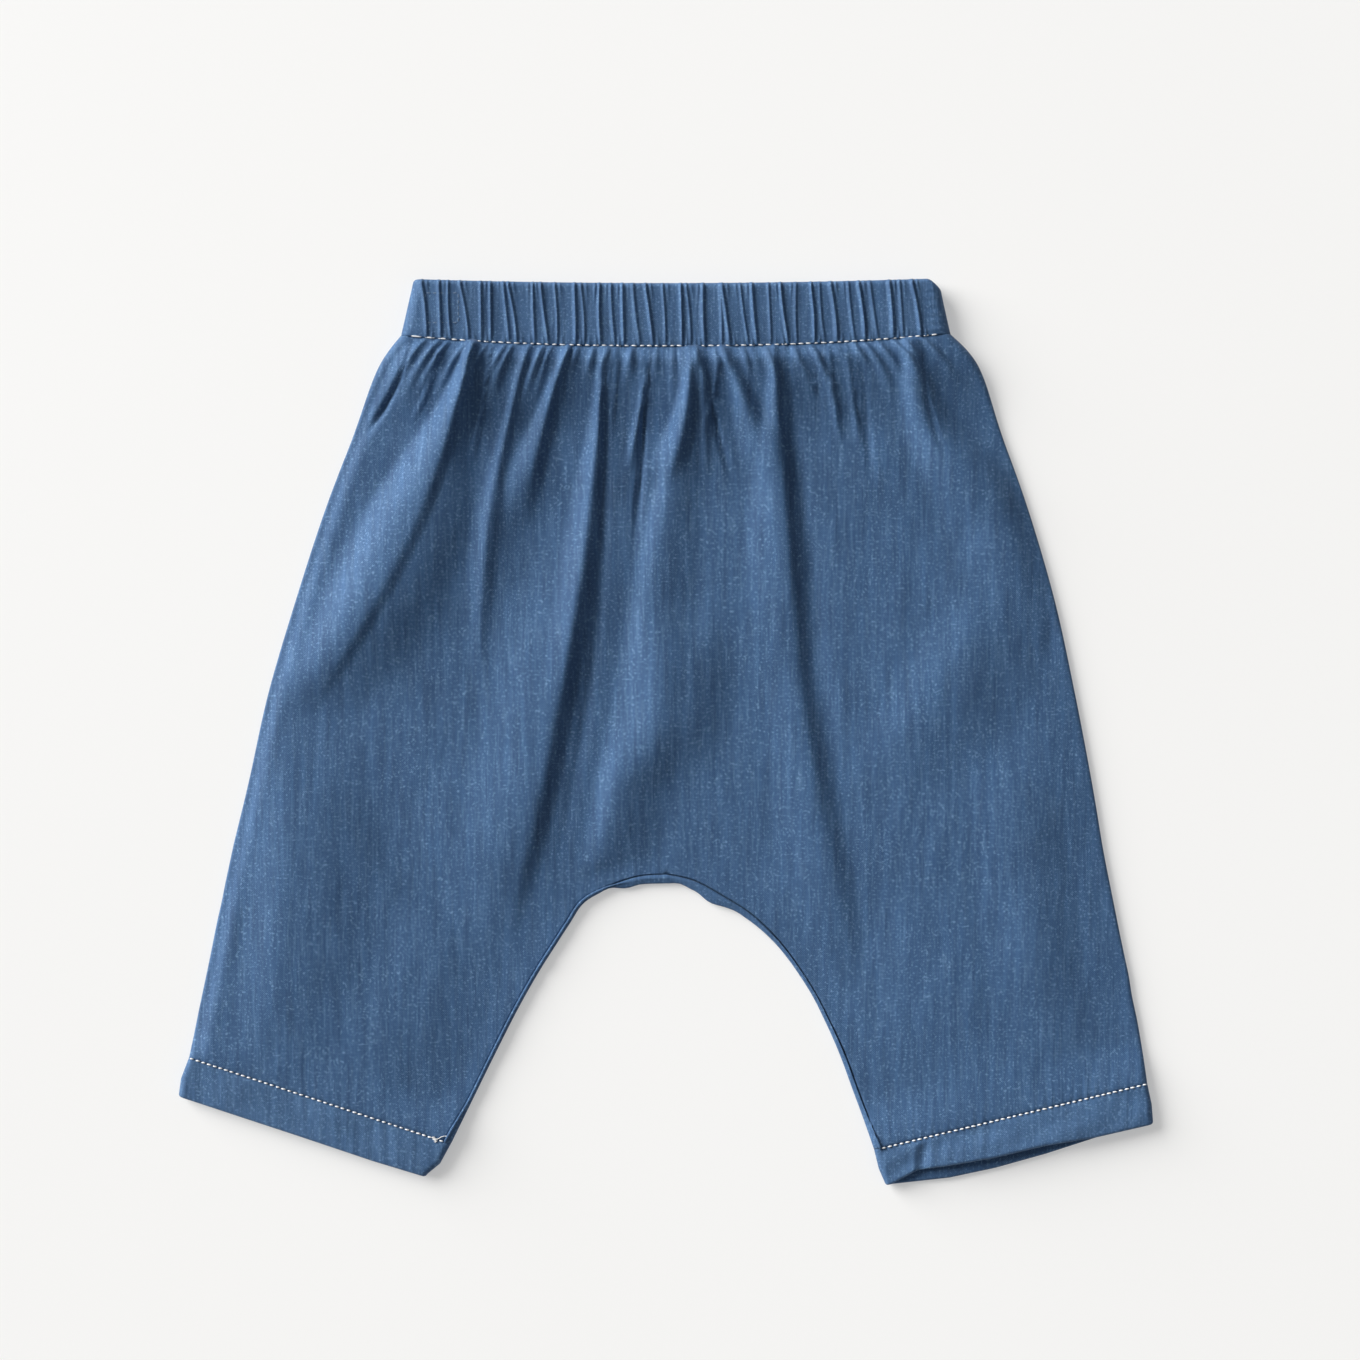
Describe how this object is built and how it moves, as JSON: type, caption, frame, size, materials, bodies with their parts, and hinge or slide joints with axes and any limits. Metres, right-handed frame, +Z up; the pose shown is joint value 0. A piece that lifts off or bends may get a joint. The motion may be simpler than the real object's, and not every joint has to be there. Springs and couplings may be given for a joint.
{
  "type": "drop crotch pants",
  "caption": "Child's pull-on drop crotch pants in chambray, laid flat, with a folded elastic waist casing, a low curved crotch and turned-up hems.",
  "frame": {"origin": "middle of the pants' outline, on the surface that they lie on", "axes": "+X across the pants to the right as seen from above, +Y toward the waist, +Z up from the surface"},
  "size_m": [0.3688, 0.3428, 0.0094],
  "materials": {
    "front_panel": "washed chambray plain weave with white weft flecks, soft sheen",
    "back_panel": "washed chambray plain weave with white weft flecks, soft sheen",
    "waist_casing": "washed chambray drawn into ribs by the elastic, white topstitching",
    "waist_elastic": "white woven elastic",
    "left_hem": "washed chambray, turned up with white topstitching",
    "right_hem": "washed chambray, turned up with white topstitching"
  },
  "bodies": {
    "root": {"front_panel": "front_panel", "back_panel": "back_panel", "waist_casing": "waist_casing", "waist_elastic": "waist_elastic", "left_hem": "left_hem", "right_hem": "right_hem"}
  },
  "joints": []
}
